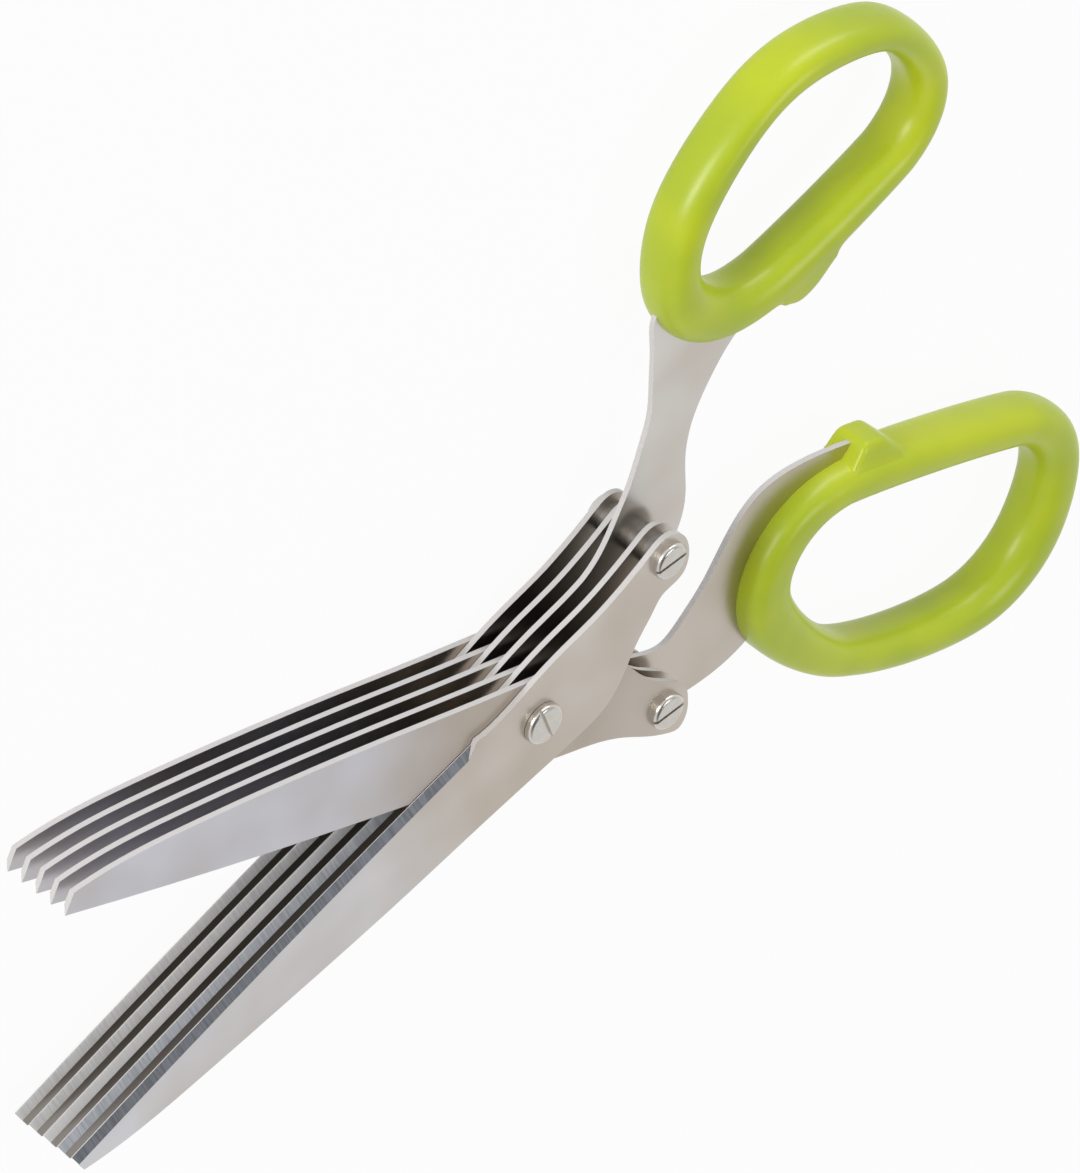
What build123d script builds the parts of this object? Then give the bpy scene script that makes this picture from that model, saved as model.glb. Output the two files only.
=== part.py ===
from build123d import *
from math import acos, atan2, cos, hypot, radians, sin
import os

# Herb scissors: two halves of five parallel blades each, interleaved on one pivot.
# Millimetres and degrees. The pivot axis is Z, and z = 0 is the underside of the pivot nut.
# +X bisects the open scissors towards the finger loops; the blades point to -X.

# Plates and their stacking
plate_thickness = 0.85
pair_pitch = 2.8
slide_clearance = 0.05
pair_count = 5
front_pair = 1
tang_pair = 3
half_opening = 12.3

# Blade, measured from the pivot axis along the half's own X axis
blade_length = 89.0
blade_depth = 9.6
bevel_width = 1.4
bevel_land = 0.12

# Rear screws in the tails, measured as the blade is
thumb_rear_x = 26.3
thumb_rear_y = 9.4
finger_rear_x = 27.2
finger_rear_y = 9.8
tail_radius = 4.3

# Pivot screw, its nut and the washers between the pairs
pivot_shaft_radius = 2.0
pivot_head_radius = 3.2
pivot_head_height = 1.1
pivot_nut_radius = 3.4
pivot_nut_height = 1.4
pivot_washer_radius = 3.4
pivot_slot_angle = -72.0

# Rear screws, their nuts and the spacers between a half's plates
rear_shaft_radius = 1.5
rear_head_radius = 2.85
rear_head_height = 1.1
rear_nut_radius = 2.85
rear_nut_height = 1.2
rear_spacer_radius = 2.5
rear_slot_angle = 4.0

# Details that every screw shares
bore_clearance = 0.05
head_rounding = 0.55
nut_bevel = 0.3
slot_width = 0.5
slot_depth = 0.5
thread_end_gap = 0.2
nut_floor = 0.4

# Tangs and moulded finger loops
tang_length = 40.0
thumb_ring_length = 45.0
finger_ring_length = 58.4
grip_half_width = 3.3
grip_half_height = 4.3
grip_rounding = 2.7

# Stop bumps that meet when the scissors close, each with a ramp down its far side
bump_length = 4.6
ramp_length = 4.6
bump_rounding = 1.5
thumb_bump_height = 2.7
thumb_bump_half_width = 4.0
finger_bump_height = 3.2
finger_bump_half_width = 3.2

# Outline of every plate, as shares of blade_length and blade_depth
cutting_edge_shares = [(-1.003, -0.45), (-0.506, 0.25), (-0.128, 0.655)]
choil_shares = [(-0.121, 0.72)]
shoulder_shares = [(-0.06, 0.73), (0.005, 0.87), (0.07, 0.97), (0.15, 1.045), (0.215, 1.185)]
thumb_belly_shares = [
    (0.27, 0.36), (0.246, 0.19), (0.205, -0.13), (0.16, -0.59), (0.125, -0.83), (0.06, -0.94),
]
finger_belly_shares = [(0.25, 0.27), (0.205, -0.1), (0.16, -0.42), (0.115, -0.62), (0.04, -0.73)]
thumb_spine_shares = [
    (-0.12, -0.98), (-0.32, -1.045), (-0.55, -1.05), (-0.75, -1.02), (-0.9, -0.94), (-0.993, -0.78),
]
finger_spine_shares = [
    (-0.12, -0.8), (-0.32, -0.91), (-0.55, -1.0), (-0.75, -1.02), (-0.9, -0.96), (-0.993, -0.81),
]

# Outline of the tails round the rear screw, as shares of tail_radius
thumb_tail_shares = [
    (-0.57, 0.82), (0.15, 0.96), (0.68, 0.62), (0.88, 0.12), (0.88, -0.4), (0.74, -0.86), (0.47, -1.2),
    (0.1, -1.32),
]
finger_tail_shares = [
    (-0.37, 0.93), (0.35, 1.12), (0.88, 1.12), (1.12, 0.65), (1.06, 0.05), (0.8, -0.58), (0.34, -0.94),
]

# Tang edges from the plate to the loop, as shares of tang_length from the rear screw.
# Each outer edge starts inside the plate.
thumb_outer_shares = [
    (-0.5, -0.045), (-0.33, 0.006), (-0.2, 0.056), (-0.13, 0.111), (-0.06, 0.186), (0.014, 0.272),
    (0.094, 0.395), (0.165, 0.523), (0.203, 0.665), (0.236, 0.8), (0.277, 0.95),
]
thumb_inner_shares = [
    (0.135, -0.15), (0.212, -0.035), (0.26, 0.18), (0.325, 0.33), (0.44, 0.457), (0.588, 0.558),
]
finger_outer_shares = [(-0.35, -0.02), (0.018, 0.115), (0.148, 0.14), (0.278, 0.125), (0.398, 0.095)]
finger_inner_shares = [
    (0.008, -0.14), (0.098, -0.14), (0.178, -0.215), (0.258, -0.33), (0.333, -0.495), (0.438, -0.64),
    (0.628, -0.7),
]
tang_root_shares = [(-0.16, -0.17)]

# Where the tang's rim ends in the stop bump, as shares of the bump's length and height
rim_end_shares = (-0.42, 0.7)

# Loop outlines: the hull of four circles, as shares of the loop's length (x, y, radius).
# One more circle fills out the outside where the tang enters.
thumb_loop_shares = [
    (0.0, -0.005, 0.42),
    (0.45, -0.045, 0.31),
    (0.38, 0.09, 0.33),
    (0.19, 0.065, 0.44),
    (-0.125, -0.08, 0.325),
]
thumb_hole_shares = [
    (-0.04, -0.01, 0.24),
    (0.45, -0.025, 0.182),
    (0.383, 0.096, 0.2),
    (0.17, 0.076, 0.296),
]
finger_loop_shares = [
    (0.015, 0.005, 0.262),
    (0.587, 0.1, 0.282),
    (0.567, 0.185, 0.303),
    (0.225, 0.135, 0.305),
    (-0.03, 0.01, 0.265),
]
finger_hole_shares = [
    (-0.008, 0.0, 0.135),
    (0.565, 0.1, 0.172),
    (0.53, 0.175, 0.19),
    (0.205, 0.135, 0.192),
]
thumb_ring_start_shares = (0.783, 1.07)
finger_ring_start_shares = (0.87, -0.258)
thumb_bump_share = -0.04
finger_bump_share = 0.0

# The roundest fillet that each loop's slimmest wall carries, as a share of the loop's length
thumb_rounding_share = 0.0601
finger_rounding_share = 0.0463

# Heights worked out from the stack
blade_stack = 2 * plate_thickness + slide_clearance
washer_height = pair_pitch - blade_stack - slide_clearance
rear_spacer_height = pair_pitch - plate_thickness


class Half:
    # One half of the scissors: its side and rear screw. The plates' outline, the loop's outlines,
    # the tang's edges and the stop bump are added once these are known.

    def __init__(self, name, side, rear_x, rear_y):
        self.name = name
        self.side = side
        self.rear_x = rear_x
        self.rear_y = rear_y

    def add_plate(self, tail, belly, spine):
        self.tail = [(self.rear_x + x * tail_radius, self.rear_y + y * tail_radius) for x, y in tail]
        self.underside = [(x * blade_length, y * blade_depth) for x, y in belly + spine]

    def add_loop(self, start, length, loop, hole, rounding_share):
        near_x = self.rear_x + start[0] * tang_length
        near_y = self.rear_y + start[1] * tang_length
        self.loop = [(near_x + x * length, near_y + y * length, r * length) for x, y, r in loop]
        self.hole = [(near_x + x * length, near_y + y * length, r * length) for x, y, r in hole]
        self.rounding = min(grip_rounding, rounding_share * length)

    def add_tang(self, outer, inner):
        self.outer = outer
        self.inner = inner

    def add_bump(self, share, height, half_width):
        self.bump = share
        self.bump_height = height
        self.bump_half_width = half_width


thumb = Half("thumb", 1, thumb_rear_x, thumb_rear_y)
thumb.add_plate(thumb_tail_shares, thumb_belly_shares, thumb_spine_shares)
thumb.add_loop(thumb_ring_start_shares, thumb_ring_length, thumb_loop_shares, thumb_hole_shares,
               thumb_rounding_share)
thumb.add_tang(thumb_outer_shares, thumb_inner_shares)
thumb.add_bump(thumb_bump_share, thumb_bump_height, thumb_bump_half_width)

finger = Half("finger", -1, finger_rear_x, finger_rear_y)
finger.add_plate(finger_tail_shares, finger_belly_shares, finger_spine_shares)
finger.add_loop(finger_ring_start_shares, finger_ring_length, finger_loop_shares, finger_hole_shares,
                finger_rounding_share)
finger.add_tang(finger_outer_shares, finger_inner_shares)
finger.add_bump(finger_bump_share, finger_bump_height, finger_bump_half_width)


def sliding_height(half, pair):
    # Height of the face on which this half's plate slides; pair 1 is in front, on top.
    top = pivot_nut_height + slide_clearance + plate_thickness + (pair_count - pair) * pair_pitch
    return top + slide_clearance if half.side > 0 else top


def half_plane(half, height):
    # The half's own drawing plane. Its Z axis points away from the sliding face,
    # so the finger half is the thumb half's mirror image.
    turn = radians(half_opening)
    x_dir = (cos(turn), half.side * sin(turn), 0)
    return Plane(origin=(0, 0, height), x_dir=x_dir, z_dir=(0, 0, half.side))


def blade_points(shares):
    return [(x * blade_length, y * blade_depth) for x, y in shares]


def tang_points(half, shares):
    return [(half.rear_x + x * tang_length, half.rear_y + y * tang_length) for x, y in shares]


def on_inner_side(half, share, reach, along=0):
    # A point on the loop's straight inner side: a share of the way between its end circles
    # and a length further on, at a distance outwards from the surface.
    (x1, y1, r1), (x2, y2, r2) = half.loop[:2]
    span = hypot(x2 - x1, y2 - y1)
    angle = atan2(y2 - y1, x2 - x1) - acos((r1 - r2) / span)
    share = share + along / span
    radius = r1 + share * (r2 - r1) + reach
    return (x1 + share * (x2 - x1) + radius * cos(angle), y1 + share * (y2 - y1) + radius * sin(angle))


def draw_plate(half):
    edge = blade_points(cutting_edge_shares)
    choil = blade_points(choil_shares)[0]
    with BuildLine() as outline:
        ThreePointArc(*edge)
        Line(edge[-1], choil)
        Spline(choil, *blade_points(shoulder_shares), *half.tail, *half.underside)
        Line(half.underside[-1], edge[0])
    make_face(outline.edges())


def draw_tang(half):
    # The tang runs from the plate into the loop; its edges end inside the moulding.
    near_x, near_y, near_radius = half.hole[0]
    outer = tang_points(half, half.outer)
    inner = tang_points(half, tang_root_shares + half.inner)
    heading = atan2(outer[-1][1] - near_y, outer[-1][0] - near_x)
    buried = (
        near_x + (near_radius + grip_half_width) * cos(heading),
        near_y + (near_radius + grip_half_width) * sin(heading),
    )
    rim_reach = rim_end_shares[1] * half.bump_height
    rim_end = on_inner_side(half, half.bump, rim_reach, rim_end_shares[0] * bump_length)
    core = on_inner_side(half, half.bump, -grip_half_width)
    with BuildLine() as outline:
        Spline(*outer, buried)
        Line(buried, (near_x, near_y))
        Line((near_x, near_y), core)
        Line(core, rim_end)
        Spline(rim_end, *reversed(inner))
        Line(inner[0], outer[0])
    make_face(outline.edges())


def draw_loop(circles, reach):
    for x, y, r in circles:
        with Locations((x, y)):
            Circle(r + reach)
    make_hull()


def blade(half, pair):
    plane = half_plane(half, sliding_height(half, pair))
    with BuildPart() as plate:
        with BuildSketch(plane):
            draw_plate(half)
        extrude(amount=plate_thickness)
        edge_middle = blade_points(cutting_edge_shares)[1]
        ground = plane.from_local_coords(Vector(edge_middle[0], edge_middle[1], plate_thickness))
        chamfer(
            plate.edges().sort_by_distance(ground)[0],
            length=bevel_width,
            length2=plate_thickness - bevel_land,
            reference=plate.faces().sort_by(Axis.Z)[-1 if half.side > 0 else 0],
        )
        if pair == tang_pair:
            with BuildSketch(plane):
                draw_tang(half)
            extrude(amount=plate_thickness)
            with BuildSketch(plane):
                draw_loop(half.hole, grip_half_width)
            extrude(amount=plate_thickness, mode=Mode.SUBTRACT)
        with BuildSketch(plane):
            Circle(pivot_shaft_radius + bore_clearance)
            with Locations((half.rear_x, half.rear_y)):
                Circle(rear_shaft_radius + bore_clearance)
        extrude(amount=plate_thickness, mode=Mode.SUBTRACT)
    return plate


def stop_bump(half, plane):
    # A bump on the loop's inner side: a rounded crest, then a ramp down to the surface.
    start = -bump_length / 2
    crest = bump_length / 2
    foot = crest + ramp_length
    with BuildPart() as bump:
        with BuildSketch(plane.offset(-half.bump_half_width)):
            with BuildLine():
                Polyline(
                    on_inner_side(half, half.bump, -grip_half_width, start),
                    on_inner_side(half, half.bump, half.bump_height, start),
                    on_inner_side(half, half.bump, half.bump_height, crest),
                    on_inner_side(half, half.bump, 0, foot),
                    on_inner_side(half, half.bump, -grip_half_width, foot),
                    close=True,
                )
            make_face()
        extrude(amount=2 * half.bump_half_width)
        fillet(bump.edges(), radius=bump_rounding)
    return bump


def grip(half, tang):
    plane = half_plane(half, sliding_height(half, tang_pair)).offset(plate_thickness / 2)
    bump = stop_bump(half, plane)
    with BuildPart() as moulding:
        with BuildSketch(plane.offset(-grip_half_height)):
            draw_loop(half.loop, 0)
        extrude(amount=2 * grip_half_height)
        with BuildSketch(plane.offset(-grip_half_height)):
            draw_loop(half.hole, 0)
        extrude(amount=2 * grip_half_height, mode=Mode.SUBTRACT)
        fillet(moulding.faces().filter_by(Axis.Z).edges(), radius=half.rounding)
        add(bump.part)
        add(tang.part, mode=Mode.SUBTRACT)
    return moulding


def ring_solid(x, y, height, outer_radius, inner_radius, thickness):
    with BuildPart() as ring:
        with BuildSketch(Plane(origin=(x, y, height))):
            Circle(outer_radius)
            Circle(inner_radius, mode=Mode.SUBTRACT)
        extrude(amount=thickness)
    return ring


def screw(x, y, seat, end, head_radius, head_height, shaft_radius, slot_angle):
    with BuildPart() as body:
        with BuildSketch(Plane(origin=(x, y, seat))):
            Circle(head_radius)
        extrude(amount=head_height)
        fillet(body.faces().sort_by(Axis.Z)[-1].edges(), radius=head_rounding)
        with BuildSketch(Plane(origin=(x, y, seat + head_height))):
            Rectangle(2 * head_radius, slot_width, rotation=slot_angle)
        extrude(amount=-slot_depth, mode=Mode.SUBTRACT)
        with BuildSketch(Plane(origin=(x, y, end))):
            Circle(shaft_radius)
        extrude(amount=seat - end)
    return body


def nut(x, y, top, radius, height, shaft_radius):
    with BuildPart() as body:
        with BuildSketch(Plane(origin=(x, y, top - height))):
            Circle(radius)
        extrude(amount=height)
        chamfer(body.faces().sort_by(Axis.Z)[0].edges(), length=nut_bevel)
        with BuildSketch(Plane(origin=(x, y, top))):
            Circle(shaft_radius)
        extrude(amount=nut_floor - height, mode=Mode.SUBTRACT)
    return body


def save(piece, name):
    piece.part.label = name
    export_step(piece.part, f"parts/{name}.step")


os.makedirs("parts", exist_ok=True)

# Blades and loops of both halves
for half in (thumb, finger):
    for pair in range(front_pair, pair_count + 1):
        plate = blade(half, pair)
        save(plate, f"{half.name}_blade_{pair}")
        if pair == tang_pair:
            save(grip(half, plate), f"{half.name}_grip")

# Pivot: screw from the front, nut at the back, a washer between neighbouring pairs
thumb_top = sliding_height(thumb, front_pair) + plate_thickness
pivot_end = nut_floor + thread_end_gap
save(
    screw(0, 0, thumb_top + slide_clearance, pivot_end, pivot_head_radius, pivot_head_height,
          pivot_shaft_radius, pivot_slot_angle),
    "pivot_screw",
)
save(nut(0, 0, pivot_nut_height, pivot_nut_radius, pivot_nut_height, pivot_shaft_radius), "pivot_nut")
for pair in range(front_pair, pair_count):
    seat = sliding_height(thumb, pair + 1) + plate_thickness
    washer = ring_solid(0, 0, seat, pivot_washer_radius, pivot_shaft_radius + bore_clearance, washer_height)
    save(washer, f"pivot_washer_{pair}")

# Rear screws, nuts and spacers that hold each half's plates apart
for half in (thumb, finger):
    spot = half_plane(half, 0).from_local_coords(Vector(half.rear_x, half.rear_y, 0))
    lift = plate_thickness if half.side > 0 else 0
    front = sliding_height(half, front_pair) + lift
    back = sliding_height(half, pair_count) + lift - plate_thickness
    end = back - rear_nut_height + nut_floor + thread_end_gap
    rear_screw = screw(spot.X, spot.Y, front, end, rear_head_radius, rear_head_height,
                       rear_shaft_radius, rear_slot_angle)
    save(rear_screw, f"{half.name}_rear_screw")
    rear_nut = nut(spot.X, spot.Y, back, rear_nut_radius, rear_nut_height, rear_shaft_radius)
    save(rear_nut, f"{half.name}_rear_nut")
    for pair in range(front_pair, pair_count):
        seat = sliding_height(half, pair + 1) + lift
        spacer = ring_solid(spot.X, spot.Y, seat, rear_spacer_radius,
                            rear_shaft_radius + bore_clearance, rear_spacer_height)
        save(spacer, f"{half.name}_rear_spacer_{pair}")
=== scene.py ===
import bpy
import numpy as np
from mathutils import Matrix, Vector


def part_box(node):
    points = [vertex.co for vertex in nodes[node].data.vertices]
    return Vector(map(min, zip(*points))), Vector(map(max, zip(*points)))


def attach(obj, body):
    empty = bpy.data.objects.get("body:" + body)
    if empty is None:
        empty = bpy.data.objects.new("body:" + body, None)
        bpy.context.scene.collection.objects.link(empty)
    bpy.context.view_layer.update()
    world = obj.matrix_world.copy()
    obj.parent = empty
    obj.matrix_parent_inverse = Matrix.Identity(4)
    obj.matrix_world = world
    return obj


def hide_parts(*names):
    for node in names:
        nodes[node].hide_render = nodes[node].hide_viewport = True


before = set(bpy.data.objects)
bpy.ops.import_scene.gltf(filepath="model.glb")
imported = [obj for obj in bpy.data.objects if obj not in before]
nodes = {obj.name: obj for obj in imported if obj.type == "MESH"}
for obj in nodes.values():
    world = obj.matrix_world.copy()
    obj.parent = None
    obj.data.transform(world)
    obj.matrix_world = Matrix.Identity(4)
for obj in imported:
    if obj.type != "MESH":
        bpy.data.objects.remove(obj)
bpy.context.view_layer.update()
millimetre = 0.001
print("frame loaded:", len(nodes), "nodes")


def toLinear(hexColour):
    # sRGB hex to the linear colour that Blender's sockets hold
    channels = np.array([int(hexColour[k:k + 2], 16) for k in (1, 3, 5)]) / 255
    linear = np.where(channels <= 0.04045, channels / 12.92, ((channels + 0.055) / 1.055) ** 2.4)
    return (*linear.tolist(), 1.0)


def addNode(tree, kind, settings=None, **links):
    # A node of that kind: settings name properties or inputs, links name inputs and take outputs.
    # _6 is input 6. A Mix node's colours are inputs 6 and 7 and output 2, its numbers 2 and 3.
    node = tree.nodes.new("ShaderNode" + kind)
    for name, value in (settings or {}).items():
        if isinstance(name, str) and hasattr(node, name):
            setattr(node, name, value)
        else:
            node.inputs[name].default_value = value
    for name, output in links.items():
        socket = int(name[1:]) if name[0] == "_" else name.replace("_", " ")
        tree.links.new(output, node.inputs[socket])
    return node


def newMaterial(name):
    material = bpy.data.materials.new(name)
    material.use_nodes = True
    tree = material.node_tree
    tree.nodes.clear()
    return material, tree


def gridMesh(name, points, closed, inward=False):
    # a mesh from an array of points, rows by columns, both joined to their own start where closed
    rows, columns = points.shape[:2]
    rowIndex = np.arange(rows if closed else rows - 1)[:, None]
    columnIndex = np.arange(columns if closed else columns - 1)[None, :]
    nextRow = (rowIndex + 1) % rows
    nextColumn = (columnIndex + 1) % columns
    quads = np.stack([
        rowIndex * columns + columnIndex, nextRow * columns + columnIndex,
        nextRow * columns + nextColumn, rowIndex * columns + nextColumn,
    ], axis=-1).reshape(-1, 4)
    if inward:
        quads = quads[:, ::-1]
    mesh = bpy.data.meshes.new(name)
    mesh.from_pydata(points.reshape(-1, 3).tolist(), [], quads.tolist())
    mesh.polygons.foreach_set("use_smooth", np.ones(len(quads), bool))
    mesh.update()
    piece = bpy.data.objects.new(name, mesh)
    bpy.context.scene.collection.objects.link(piece)
    return piece


# Camera at the photograph's angle, with a long lens
camera = {
    "width": 1080,           # pixels
    "focalPixels": 16000,
    "sensor": 36.0,          # mm
    "clip": (0.01, 100),     # m
    "right": (0.72021, 0.00481, 0.69374),
    "up": (0.48693, 0.70877, -0.51044),
    "back": (-0.49416, 0.70543, 0.50812),
    "place": (-1.06123, 1.54041, 1.10518),
}
cameraData = bpy.data.cameras.new("camera")
cameraData.sensor_fit = "HORIZONTAL"
cameraData.sensor_width = camera["sensor"]
cameraData.lens = camera["focalPixels"] / camera["width"] * camera["sensor"]
cameraData.clip_start, cameraData.clip_end = camera["clip"]
cameraObject = bpy.data.objects.new("camera", cameraData)
bpy.context.scene.collection.objects.link(cameraObject)
turned = Matrix([camera["right"], camera["up"], camera["back"]]).transposed().to_4x4()
turned.translation = camera["place"]
cameraObject.matrix_world = turned
bpy.context.scene.camera = cameraObject
print("camera placed")


# Satin stainless steel, punched from strip and ground on its flat faces: fine lines run along
# the blade. Its tone warms a little from the blade to the root and differs between the halves:
# that is painted reflection, and so are the soft clouds of tone over a face. The punched edges
# are tumbled and painted lighter as a highlight, and the ground bevel shows cross marks. Both
# scatter light, so they mirror less than a flat face. Each pair's bevels carry painted light and
# shade: the front plate's bevel is painted darkest, those behind near white, and the thumb
# half's plates behind the first are painted darker as shade between the plates.
bladeSteel = {
    "paintedLightTones": {               # painted reflection tones: of the blade, of its root at the pivot and of the tang
        "thumb": ("#d3d2d5", "#cbc4bc", "#d6d3cf"),
        "finger": ("#cbcbd2", "#bab1a7", "#c6bdb3"),
    },
    "bladeEnd": -42.0,       # mm along the half, where the blade's cool painted reflection gives way
    "rootStart": -6.0,       # mm, to the root's warmer one
    "rootEnd": 14.0,         # mm, which gives way
    "tangStart": 34.0,       # mm, to the tang's
    "shadedInnerBlade": "#8f8983",  # painted shade: the thumb half's plates behind the first are painted darker, as they lie between plates
    "cloud": 20.0,           # mm, soft patches of painted reflection over a face
    "cloudRange": (0.35, 0.65),
    "shade": "#eee9e2",      # what the clouds tint a face with, as painted reflection
    # painted highlight: the punched edges' colour is lighter
    "edge": "#d9d6d6",
    "bevelLitAndShaded": {              # painted shade and light of each pair's bevels, as the marks' dark and light colour, front pair first
        1: ("#5a5d62", "#72767c"),
        2: ("#b4b9c0", "#d0d4da"),
        3: ("#f0f0f2", "#f6f6f7"),
        4: ("#e0e0e2", "#f2f2f3"),
        5: ("#e4e4e6", "#f4f4f5"),
    },
    "flatTilt": (0.93, 0.97),  # the normal's z between the bevel and the flat face
    "edgeTilt": (0.6, 0.4),  # and between the bevel and the punched edge
    "faceRoughness": 0.3,
    "edgeRoughness": 0.36,
    "bevelRoughness": 0.42,
    "bevelMirror": 0.2,      # how metallic the bevels and edges look
    "grainAcross": 0.12,     # mm between ground lines, drawn coarser than the real 0.03
    "grainAlong": 5.0,       # mm
    "markPitch": 0.7,        # mm between the grinding wheel's marks on the bevel
    "markFineness": 1.6,
    "markStretch": 0.06,     # a mark's width over its length
    "markRange": (0.36, 0.62),
    "relief": 0.02,          # mm
    "bump": 0.25,
}
halfTurn = np.radians(12.3)  # between each half and the x axis
rearScrews = {"thumb": (26.3, 9.4), "finger": (27.2, 9.8)}  # mm, in the half's own drawing


def inRow(x, y, side):
    # a half's own drawing coordinates, in mm, to row x and y in metres
    rowX = (x * np.cos(halfTurn) - y * np.sin(halfTurn)) * millimetre
    rowY = side * (x * np.sin(halfTurn) + y * np.cos(halfTurn)) * millimetre
    return rowX, rowY


def steelMaterial(name, turn, paintedLightTones, bevel, settings):
    blade, root, tang = paintedLightTones
    bevelShade, bevelTone = bevel
    flatTilt, edgeTilt = settings["flatTilt"], settings["edgeTilt"]
    markRange, cloudRange = settings["markRange"], settings["cloudRange"]
    markPitch = settings["markPitch"] * millimetre
    material, tree = newMaterial(name)
    coordinates = addNode(tree, "TexCoord")
    along = addNode(tree, "Mapping", {"Rotation": (0, 0, -turn)}, Vector=coordinates.outputs["Object"])
    place = addNode(tree, "SeparateXYZ", Vector=along.outputs[0])
    tilt = addNode(tree, "SeparateXYZ", Vector=coordinates.outputs["Normal"])
    upright = addNode(tree, "Math", {"operation": "ABSOLUTE"}, _0=tilt.outputs["Z"])
    # flat is 1 on the flat faces and 0 on the ground bevel, punched is 1 on the punched edges
    flat = addNode(tree, "MapRange", {"From Min": flatTilt[0], "From Max": flatTilt[1]},
                   Value=upright.outputs[0])
    punched = addNode(tree, "MapRange", {"From Min": edgeTilt[0], "From Max": edgeTilt[1]},
                      Value=upright.outputs[0])
    # the ground lines of the faces and the cross marks of the bevel
    grainScale = addNode(tree, "Mapping", {"Scale": (
        1 / (settings["grainAlong"] * millimetre), 1 / (settings["grainAcross"] * millimetre), 1,
    )}, Vector=along.outputs[0])
    grain = addNode(tree, "TexNoise", {"Scale": 1.0, "Detail": 3.0}, Vector=grainScale.outputs[0])
    markScale = addNode(tree, "Mapping", {
        "Scale": (1 / markPitch, settings["markStretch"] / markPitch, 1),
    }, Vector=along.outputs[0])
    marks = addNode(tree, "TexNoise", {
        "Scale": settings["markFineness"], "Detail": 2.0, "Roughness": 0.6,
    }, Vector=markScale.outputs[0])
    markTone = addNode(tree, "MapRange", {"From Min": markRange[0], "From Max": markRange[1]},
                       Value=marks.outputs["Fac"])
    # the face's painted reflection tone along the half, tinted by clouds of painted reflection
    cloud = addNode(tree, "TexNoise", {
        "Scale": 1 / (settings["cloud"] * millimetre), "Detail": 2.0,
    }, Vector=coordinates.outputs["Object"])
    cloudShare = addNode(tree, "MapRange", {"From Min": cloudRange[0], "From Max": cloudRange[1]},
                         Value=cloud.outputs["Fac"])
    cloudTone = addNode(tree, "Mix", {
        "data_type": "RGBA", 6: toLinear(settings["shade"]), 7: (1, 1, 1, 1),
    }, _0=cloudShare.outputs[0])
    toRoot = addNode(tree, "MapRange", {
        "interpolation_type": "SMOOTHSTEP",
        "From Min": settings["bladeEnd"] * millimetre, "From Max": settings["rootStart"] * millimetre,
    }, Value=place.outputs["X"])
    toTang = addNode(tree, "MapRange", {
        "interpolation_type": "SMOOTHSTEP",
        "From Min": settings["rootEnd"] * millimetre, "From Max": settings["tangStart"] * millimetre,
    }, Value=place.outputs["X"])
    frontTone = addNode(tree, "Mix", {
        "data_type": "RGBA", 6: toLinear(blade), 7: toLinear(root),
    }, _0=toRoot.outputs[0])
    faceTone = addNode(tree, "Mix", {"data_type": "RGBA", 7: toLinear(tang)},
                       _0=toTang.outputs[0], _6=frontTone.outputs[2])
    faceColour = addNode(tree, "Mix", {"data_type": "RGBA", "blend_type": "MULTIPLY", 0: 1.0},
                         _6=faceTone.outputs[2], _7=cloudTone.outputs[2])
    # face, bevel and edge put together
    # the bevel's cross marks, in its pair's painted light and shade
    bevelColour = addNode(tree, "Mix", {
        "data_type": "RGBA", 6: toLinear(bevelShade), 7: toLinear(bevelTone),
    }, _0=markTone.outputs[0])
    ground = addNode(tree, "Mix", {"data_type": "RGBA"}, _0=flat.outputs[0], _6=bevelColour.outputs[2],
                     _7=faceColour.outputs[2])
    # the punched edges take their lighter colour, a painted highlight
    colour = addNode(tree, "Mix", {"data_type": "RGBA", 7: toLinear(settings["edge"])},
                     _0=punched.outputs[0], _6=ground.outputs[2])
    groundRough = addNode(tree, "MapRange", {
        "To Min": settings["bevelRoughness"], "To Max": settings["faceRoughness"],
    }, Value=flat.outputs[0])
    roughness = addNode(tree, "MapRange", {"To Max": settings["edgeRoughness"]},
                        Value=punched.outputs[0], To_Min=groundRough.outputs[0])
    metallic = addNode(tree, "MapRange", {"To Min": settings["bevelMirror"]}, Value=flat.outputs[0])
    relief = addNode(tree, "Mix", {"data_type": "FLOAT"}, _0=flat.outputs[0], _2=marks.outputs["Fac"],
                     _3=grain.outputs["Fac"])
    bump = addNode(tree, "Bump", {
        "Strength": settings["bump"], "Distance": settings["relief"] * millimetre,
    }, Height=relief.outputs[0])
    shader = addNode(tree, "BsdfPrincipled", Base_Color=colour.outputs[2], Metallic=metallic.outputs[0],
                     Roughness=roughness.outputs[0], Normal=bump.outputs[0])
    addNode(tree, "OutputMaterial", Surface=shader.outputs[0])
    return material


# Turned steel: heads and nuts are bright, with rings from the lathe tool; the washers and
# spacers between the plates are left dull, and their colour is painted darker as shade there.
turnedSteel = {              # what all of them share
    "ringWobble": 0.6,
    "spot": 1.5,             # mm, faint stains
    "smoother": 0.04,        # how far the roughness strays, either way
    "rougher": 0.06,
    "bump": 0.2,
}
screwSteel = {
    **turnedSteel,
    "colour": "#d6d2cc",
    "shade": "#bfbab3",
    "roughness": 0.24,
    "ringPitch": 0.25,       # mm between tool rings, drawn coarser than the real 0.05
    "relief": 0.01,          # mm
}
# painted shade: the washers and spacers sit between the plates, so their colour is darker
shadedSpacerSteel = {
    **turnedSteel,
    "colour": "#a5a19c",
    "shade": "#86827e",
    "roughness": 0.48,
    "ringPitch": 0.35,       # mm
    "relief": 0.02,          # mm
}


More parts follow.
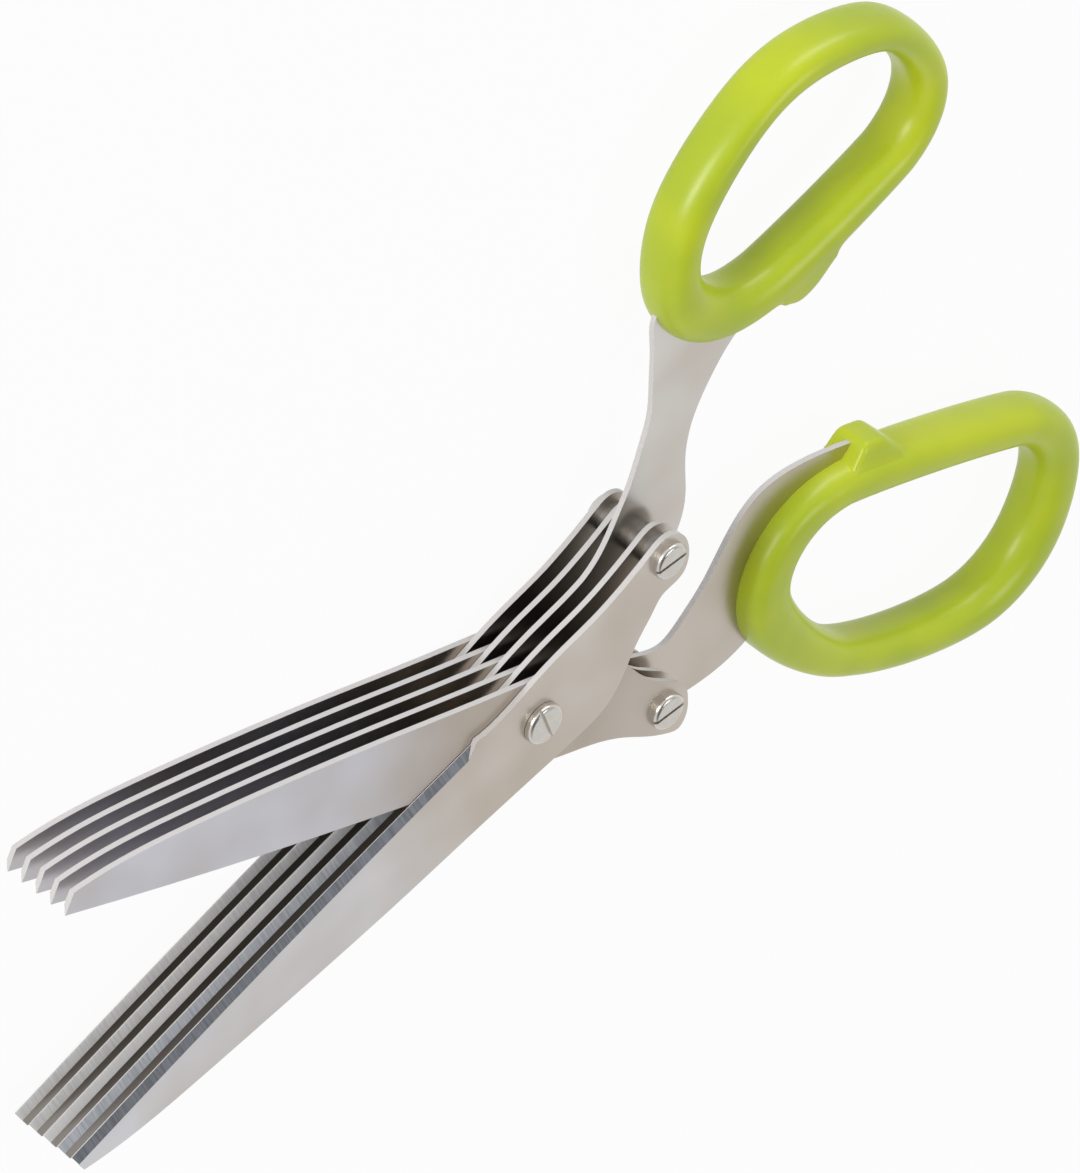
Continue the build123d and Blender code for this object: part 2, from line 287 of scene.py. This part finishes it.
def turnedMaterial(name, centre, settings):
    material, tree = newMaterial(name)
    coordinates = addNode(tree, "TexCoord")
    centred = addNode(tree, "Mapping", {"Location": (-centre[0], -centre[1], 0)},
                      Vector=coordinates.outputs["Object"])
    # a rings wave repeats each 2 pi of 20 times its scaled distance
    rings = addNode(tree, "TexWave", {
        "wave_type": "RINGS", "rings_direction": "Z", "Distortion": settings["ringWobble"],
        "Scale": 2 * np.pi / 20 / (settings["ringPitch"] * millimetre), "Detail": 2.0,
    }, Vector=centred.outputs[0])
    spots = addNode(tree, "TexNoise", {"Scale": 1 / (settings["spot"] * millimetre), "Detail": 3.0},
                    Vector=coordinates.outputs["Object"])
    colour = addNode(tree, "Mix", {
        "data_type": "RGBA", 6: toLinear(settings["shade"]), 7: toLinear(settings["colour"]),
    }, _0=spots.outputs["Fac"])
    roughness = addNode(tree, "MapRange", {
        "To Min": settings["roughness"] - settings["smoother"],
        "To Max": settings["roughness"] + settings["rougher"],
    }, Value=spots.outputs["Fac"])
    bump = addNode(tree, "Bump", {
        "Strength": settings["bump"], "Distance": settings["relief"] * millimetre,
    }, Height=rings.outputs["Fac"])
    shader = addNode(tree, "BsdfPrincipled", {"Metallic": 1.0}, Base_Color=colour.outputs[2],
                     Roughness=roughness.outputs[0], Normal=bump.outputs[0])
    addNode(tree, "OutputMaterial", Surface=shader.outputs[0])
    return material


# Moulded polypropylene, lime green: a soft gloss with a little light carried under the
# skin, and the faint ripple that a moulded surface has.
limePlastic = {
    "colour": "#c5d322",
    "shade": "#b3c626",
    "cloud": 16.0,           # mm, faint changes of tone
    "cloudRange": (0.35, 0.65),
    "roughness": 0.33,
    "smoother": 0.03,        # how far the roughness strays, either way
    "rougher": 0.05,
    "ior": 1.49,
    "ripple": 2.2,           # mm between ripples of the moulded skin
    "relief": 0.02,          # mm
    "bump": 0.3,
    "underSkin": 0.06,       # share of the light that goes under the skin
    "underReach": 2.0,       # mm that it goes there
    "underTint": (0.6, 0.8, 0.2),
}


def plasticMaterial(name, settings):
    cloudRange = settings["cloudRange"]
    material, tree = newMaterial(name)
    coordinates = addNode(tree, "TexCoord")
    cloud = addNode(tree, "TexNoise", {
        "Scale": 1 / (settings["cloud"] * millimetre), "Detail": 2.0,
    }, Vector=coordinates.outputs["Object"])
    tone = addNode(tree, "MapRange", {"From Min": cloudRange[0], "From Max": cloudRange[1]},
                   Value=cloud.outputs["Fac"])
    colour = addNode(tree, "Mix", {
        "data_type": "RGBA", 6: toLinear(settings["colour"]), 7: toLinear(settings["shade"]),
    }, _0=tone.outputs[0])
    ripple = addNode(tree, "TexNoise", {
        "Scale": 1 / (settings["ripple"] * millimetre), "Detail": 2.0,
    }, Vector=coordinates.outputs["Object"])
    roughness = addNode(tree, "MapRange", {
        "To Min": settings["roughness"] - settings["smoother"],
        "To Max": settings["roughness"] + settings["rougher"],
    }, Value=ripple.outputs["Fac"])
    bump = addNode(tree, "Bump", {
        "Strength": settings["bump"], "Distance": settings["relief"] * millimetre,
    }, Height=ripple.outputs["Fac"])
    shader = addNode(tree, "BsdfPrincipled", {
        "IOR": settings["ior"], "Subsurface Weight": settings["underSkin"],
        "Subsurface Radius": settings["underTint"], "Subsurface Scale": settings["underReach"] * millimetre,
    }, Base_Color=colour.outputs[2], Roughness=roughness.outputs[0], Normal=bump.outputs[0])
    addNode(tree, "OutputMaterial", Surface=shader.outputs[0])
    return material


# one steel for each plate, with its own painted light and shade, and one for the turned pieces of each
# screw, ringed round its axis
bladeFinish = {}
for pair, bevel in bladeSteel["bevelLitAndShaded"].items():
    for half, turn in (("thumb", halfTurn), ("finger", -halfTurn)):
        paintedLightTones = bladeSteel["paintedLightTones"][half]
        # painted shade: the thumb half's plates behind the front one take the darker inner tone
        behindFront = pair > 1
        if half == "thumb" and behindFront:
            paintedLightTones = (bladeSteel["shadedInnerBlade"], bladeSteel["shadedInnerBlade"], paintedLightTones[2])
        finish = steelMaterial(f"{half}SatinSteel{pair}", turn, paintedLightTones, bevel, bladeSteel)
        bladeFinish[f"{half}_blade_{pair}"] = finish
centres = {
    "pivot": (0, 0),
    "thumb": inRow(*rearScrews["thumb"], 1),
    "finger": inRow(*rearScrews["finger"], -1),
}
screwFinish = {
    place: turnedMaterial(place + "TurnedSteel", centre, screwSteel) for place, centre in centres.items()
}
spacerFinish = {
    place: turnedMaterial(place + "ShadedDullSteel", centre, shadedSpacerSteel) for place, centre in centres.items()
}
limeMoulding = plasticMaterial("limePolypropylene", limePlastic)
for name, node in nodes.items():
    place = name.split("_")[0]
    finish = screwFinish[place]
    if "grip" in name:
        finish = limeMoulding
    elif "blade" in name:
        finish = bladeFinish[name]
    elif "spacer" in name or "washer" in name:
        finish = spacerFinish[place]
    node.data.materials.clear()
    node.data.materials.append(finish)
print("finishes made:", len(bpy.data.materials))


# Finger loops. Outlines are hulls of circles (x, y, radius) in shares of the loop's length,
# and the straight inner side with the stop bump touches the outer outline's first two.
loops = {
    "thumb": {
        "side": 1,
        "length": 45.0,          # mm
        "start": (0.783, 1.07),  # from the rear screw to the circles' origin, in shares of the tang
        "outer": [
            (0.0, -0.005, 0.42), (0.45, -0.045, 0.31), (0.38, 0.09, 0.33), (0.19, 0.065, 0.44),
            (-0.125, -0.08, 0.325),
        ],
        "hole": [
            (-0.04, -0.01, 0.24), (0.45, -0.025, 0.182), (0.383, 0.096, 0.2), (0.17, 0.076, 0.296),
        ],
        "bumpShare": -0.04,      # the bump's place, as a share of the way from circle 1 to circle 2
        "bumpHeight": 2.7,       # mm
        "bumpHalfHeight": 4.15,  # mm across the loop's thickness
        "bumpSquare": 4,         # 2 is a round dome, more is squarer
        "crestRounding": 1.1,    # mm
        "boxyEnd": 0.0,          # 1 where the end at the tang is squarer outside
    },
    "finger": {
        "side": -1,
        "length": 58.4,
        "start": (0.87, -0.258),
        "outer": [
            (0.015, 0.005, 0.262), (0.587, 0.1, 0.282), (0.567, 0.185, 0.303), (0.225, 0.135, 0.305),
            (-0.03, 0.01, 0.265),
        ],
        "hole": [
            (-0.008, 0.0, 0.135), (0.565, 0.1, 0.172), (0.53, 0.175, 0.19), (0.205, 0.135, 0.192),
        ],
        "bumpShare": 0.0,
        "bumpHeight": 3.2,
        "bumpHalfHeight": 3.3,
        "bumpSquare": 8,
        "crestRounding": 0.5,
        "boxyEnd": 1.0,
    },
}
moulding = {
    "tang": 40.0,            # mm, the length that the loops' starts are shares of
    "halfHeight": 4.3,       # mm
    "roundness": 2.3,        # 2 is an ellipse, more is squarer
    "endRoundness": 3.4,     # of the outer wall where the finger loop meets the tang
    "endFrom": 0.3,          # how squarely a wall faces the tang where that begins
    "endFade": 0.4,          # and how much more until it is full
    "outlineBlend": 8.0,     # degrees over which the outline's curves run into each other
    "sideBlend": 2.5,        # degrees, at the straight inner side
    "sideReach": 26.0,       # degrees either side of the inner side where that holds
    "tangents": 2880,        # directions in which an outline is worked out
    "around": 720,           # steps round the hole
    "section": 112,          # and round a section
    "turnStep": 2.5,         # mm that a radian of turning counts for in the steps round the hole
    "leastFacing": 0.2,      # cosine below which a tangent is too slanted to end a section
    "sideFrom": 0.7,         # how squarely a wall faces the inner side where the bump begins
    "sideFade": 0.2,         # and how much more until it is full
    "bumpLine": (-8, 16, 961),  # mm from the bump to the ends of its profile, and the points on it
    "bumpCrest": 4.6,        # mm
    "bumpRamp": 4.6,         # mm
    "bumpRise": 1.0,         # mm over which the bump's near wall rises
    "bumpFoot": 0.4,         # mm of height over which the bump leaves the wall
    "roundingReach": 3,      # how many times its rounding a crest is averaged over, either way
}
directions = np.linspace(0, 2 * np.pi, moulding["tangents"], endpoint=False)
normals = np.stack([np.cos(directions), np.sin(directions)], axis=1)


def hullCircles(shares, shape, rear, settings):
    # circles in shares of the loop's length to mm in the half's own drawing
    startX = rear[0] + shape["start"][0] * settings["tang"]
    startY = rear[1] + shape["start"][1] * settings["tang"]
    scale = shape["length"]
    return np.array([(startX + x * scale, startY + y * scale, r * scale) for x, y, r in shares])


def smoothed(reach, blend):
    # A closed curve of distances, with its quick changes faded out over that many degrees.
    # The mean size and the place, which are waves 0 and 1, stay as they are.
    waves = np.fft.rfft(reach)
    order = np.maximum(np.arange(len(waves)) ** 2 - 1, 0)
    return np.fft.irfft(waves * np.exp(-order * np.radians(blend) ** 2 / 2), len(reach))


def tangentDistance(circles, sideAngle, settings):
    # Distance from the origin to the outline's tangent, for each direction: the furthest of
    # the circles, smoothed so that the curvature has no jumps, less so at the straight side.
    # The second value is its change per radian.
    x, y, radius = circles.T
    reach = np.max(np.outer(np.cos(directions), x) + np.outer(np.sin(directions), y) + radius, axis=1)
    soft = smoothed(reach, settings["outlineBlend"])
    away = np.abs((directions - sideAngle + np.pi) % (2 * np.pi) - np.pi)
    near = np.cos(np.clip(away / np.radians(settings["sideReach"]), 0, 1) * np.pi / 2) ** 2
    soft = soft + near * (smoothed(reach, settings["sideBlend"]) - soft)
    waves = np.fft.rfft(soft)
    return soft, np.fft.irfft(1j * np.arange(len(waves)) * waves, len(directions))


def holeSteps(reach, slope, settings):
    # Points along the hole's outline, and its normals there. For a direction the point is the
    # tangent's distance along the normal plus its change along the tangent. The steps are
    # even, and a little closer where the outline turns.
    tangents = np.stack([-normals[:, 1], normals[:, 0]], axis=1)
    outline = reach[:, None] * normals + slope[:, None] * tangents
    step = np.linalg.norm(np.roll(outline, -1, axis=0) - outline, axis=1)
    step = step + settings["turnStep"] * (directions[1] - directions[0])
    travelled = np.concatenate([[0], np.cumsum(step)])
    wanted = np.linspace(0, travelled[-1], settings["around"], endpoint=False)
    angle = np.interp(wanted, travelled, np.append(directions, 2 * np.pi))
    closed = np.vstack([outline, outline[:1]])
    inner = np.stack([np.interp(wanted, travelled, closed[:, k]) for k in (0, 1)], axis=1)
    return inner, np.stack([np.cos(angle), np.sin(angle)], axis=1)


def bumpLift(edge, outward, circles, sideAngle, shape, settings):
    # How far the stop bump lifts each point of the outer edge. Along the straight inner side
    # it has a steep near face, a rounded crest and a ramp down to the loop.
    middle = circles[0] + shape["bumpShare"] * (circles[1] - circles[0])
    sideNormal = np.array([np.cos(sideAngle), np.sin(sideAngle)])
    foot = middle[:2] + middle[2] * sideNormal
    forward = np.array([-sideNormal[1], sideNormal[0]])
    alongSide = (edge - foot) @ forward
    onSide = np.clip((outward @ sideNormal - settings["sideFrom"]) / settings["sideFade"], 0, 1)
    line = np.linspace(*settings["bumpLine"])
    crest, rise, ramp = settings["bumpCrest"] / 2, settings["bumpRise"], settings["bumpRamp"]
    profile = np.clip(np.minimum((line + crest + rise / 2) / rise, (crest + ramp - line) / ramp), 0, 1)
    spread = shape["crestRounding"] / (line[1] - line[0])
    reach = settings["roundingReach"]
    kernel = np.exp(-np.linspace(-reach, reach, int(2 * reach * spread) + 1) ** 2 / 2)
    profile = np.convolve(profile, kernel / kernel.sum(), "same")
    return shape["bumpHeight"] * onSide * np.interp(alongSide, line, profile)


def loopSurface(name, shape, middle, rear, settings):
    # For a step u along the hole's outline, the section runs from the hole to the outer
    # outline along the hole's normal. For a turn v it is a rounded box (superellipse) of width w
    # and half height h: x = w (1 + cos(v)^(2/n)) / 2, z = h sin(v)^(2/n). The stop bump
    # pushes its outer side outwards.
    outer = hullCircles(shape["outer"], shape, rear, settings)
    hole = hullCircles(shape["hole"], shape, rear, settings)
    (x1, y1, r1), (x2, y2, r2) = outer[:2]
    sideAngle = np.arctan2(y2 - y1, x2 - x1) - np.arccos((r1 - r2) / np.hypot(x2 - x1, y2 - y1))
    outerReach = tangentDistance(outer, sideAngle, settings)[0]
    inner, outward = holeSteps(*tangentDistance(hole, sideAngle, settings), settings)
    # the hole's normal runs until the first of the outer outline's tangents stops it
    facing = outward @ normals.T
    room = (outerReach - inner @ normals.T) / np.maximum(facing, settings["leastFacing"])
    width = np.min(np.where(facing > settings["leastFacing"], room, np.inf), axis=1)
    lift = bumpLift(inner + width[:, None] * outward, outward, outer, sideAngle, shape, settings)
    # the section is squarer outside, at the end where the tang enters
    turn = np.linspace(0, 2 * np.pi, settings["section"], endpoint=False)[None, :]
    facesTang = np.clip((-outward[:, :1] - settings["endFrom"]) / settings["endFade"], 0, 1)
    atEnd = shape["boxyEnd"] * facesTang * (np.cos(turn) > 0)
    power = 2 / (settings["roundness"] + atEnd * (settings["endRoundness"] - settings["roundness"]))
    across = np.sign(np.cos(turn)) * np.abs(np.cos(turn)) ** power
    height = settings["halfHeight"] * np.sign(np.sin(turn)) * np.abs(np.sin(turn)) ** power
    offset = width[:, None] / 2 * (1 + across)
    # the bump is domed across the loop's height and falls away at its sides
    level = np.clip(np.abs(height) / shape["bumpHalfHeight"], 0, 1)
    window = (1 - level ** shape["bumpSquare"]) ** 0.5 * (across > 0)
    pushed = np.maximum(width[:, None] + lift[:, None] - offset, 0)
    offset = offset + pushed * window * np.clip(lift / settings["bumpFoot"], 0, 1)[:, None]
    local = inner[:, None, :] + offset[:, :, None] * outward[:, None, :]
    rowX, rowY = inRow(local[..., 0], local[..., 1], shape["side"])
    rowZ = middle + height * millimetre
    piece = gridMesh(name, np.stack([rowX, rowY, rowZ], axis=-1), True, inward=shape["side"] < 0)
    piece.data.materials.append(limeMoulding)
    return piece


for half, shape in loops.items():
    lowest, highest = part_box(half + "_grip")
    loop = loopSurface(half + "Loop", shape, (lowest[2] + highest[2]) / 2, rearScrews[half], moulding)
    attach(loop, half + "_half")
    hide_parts(half + "_grip")
print("finger loops shaped")


# Floor, background and light
studio = {
    "floorSize": 6.0,        # m
    "floorPoints": 9,        # along each side
    "floorColour": "#e8e8e6",
    "floorGlow": 0.95,       # share of white in the floor that the camera and the steel see
    "worldDiffuse": 0.42,    # the world's light on surfaces
    "horizon": 0.98,         # what the steel mirrors low down
    "zenith": 0.12,          # and overhead
    "horizonTop": 0.55,      # height in the sky where the one gives way
    "zenithStart": 0.9,      # to the other
}
floorHalf = studio["floorSize"] / 2
corner = np.linspace(-floorHalf, floorHalf, studio["floorPoints"])
floorX, floorY = np.meshgrid(corner, corner, indexing="ij")
floor = gridMesh("floor", np.stack([floorX, floorY, np.zeros_like(floorX)], axis=-1), False)
floorMaterial, tree = newMaterial("paleFloor")
path = addNode(tree, "LightPath")
# 1 for what the camera, a mirror or glass sees, 0 for light that falls on surfaces
seen = addNode(tree, "Math", {"operation": "MAXIMUM"}, _0=path.outputs["Is Camera Ray"],
               _1=path.outputs["Is Glossy Ray"])
seen = addNode(tree, "Math", {"operation": "MAXIMUM"}, _0=seen.outputs[0],
               _1=path.outputs["Is Transmission Ray"])
matt = addNode(tree, "BsdfDiffuse", {"Color": toLinear(studio["floorColour"])})
glow = addNode(tree, "Emission", {"Color": (1, 1, 1, 1), "Strength": 1.0})
glowShare = addNode(tree, "Math", {"operation": "MULTIPLY", 1: studio["floorGlow"]}, _0=seen.outputs[0])
mixed = addNode(tree, "MixShader", _0=glowShare.outputs[0], _1=matt.outputs[0], _2=glow.outputs[0])
addNode(tree, "OutputMaterial", Surface=mixed.outputs[0])
floor.data.materials.append(floorMaterial)

# the camera sees white, the steel a sky that darkens overhead, and surfaces get an even light
world = bpy.data.worlds.new("studio")
world.use_nodes = True
bpy.context.scene.world = world
tree = world.node_tree
tree.nodes.clear()
path = addNode(tree, "LightPath")
sky = addNode(tree, "TexCoord")
skyParts = addNode(tree, "SeparateXYZ", Vector=sky.outputs["Generated"])
mirrored = addNode(tree, "MapRange", {
    "From Min": studio["horizonTop"], "From Max": studio["zenithStart"],
    "To Min": studio["horizon"], "To Max": studio["zenith"],
}, Value=skyParts.outputs["Z"])
unseen = addNode(tree, "Mix", {"data_type": "FLOAT", 2: studio["worldDiffuse"]},
                 _0=path.outputs["Is Glossy Ray"], _3=mirrored.outputs[0])
level = addNode(tree, "Mix", {"data_type": "FLOAT", 3: 1.0}, _0=path.outputs["Is Camera Ray"],
                _2=unseen.outputs[0])
background = addNode(tree, "Background", {"Color": (1, 1, 1, 1)}, Strength=level.outputs[0])
addNode(tree, "OutputWorld", Surface=background.outputs[0])

# soft boxes: place, size in metres, watts and colour; all aim at the pivot
lamps = {
    "keyBox": {"place": (-0.86, 0.6, 0.17), "size": (0.5, 0.3), "watts": 5.6, "colour": "#fffdf8"},
    "topBox": {"place": (0.33, 0.03, 0.94), "size": (0.5, 0.36), "watts": 2.1, "colour": "#f6f8ff"},
    "backBox": {"place": (0.5, 0.82, 0.12), "size": (0.6, 0.16), "watts": 2.2, "colour": "#ffffff"},
}
for name, lamp in lamps.items():
    lampData = bpy.data.lights.new(name, "AREA")
    lampData.shape = "RECTANGLE"
    lampData.size, lampData.size_y = lamp["size"]
    lampData.energy = lamp["watts"]
    lampData.color = toLinear(lamp["colour"])[:3]
    lampObject = bpy.data.objects.new(name, lampData)
    bpy.context.scene.collection.objects.link(lampObject)
    back = np.array(lamp["place"]) / np.linalg.norm(lamp["place"])
    right = np.cross((0, 0, 1), back)
    right = right / np.linalg.norm(right)
    lampMatrix = Matrix([right, np.cross(back, right), back]).transposed().to_4x4()
    lampMatrix.translation = lamp["place"]
    lampObject.matrix_world = lampMatrix
print("floor and lamps set")

bpy.context.scene.view_settings.view_transform = "Standard"
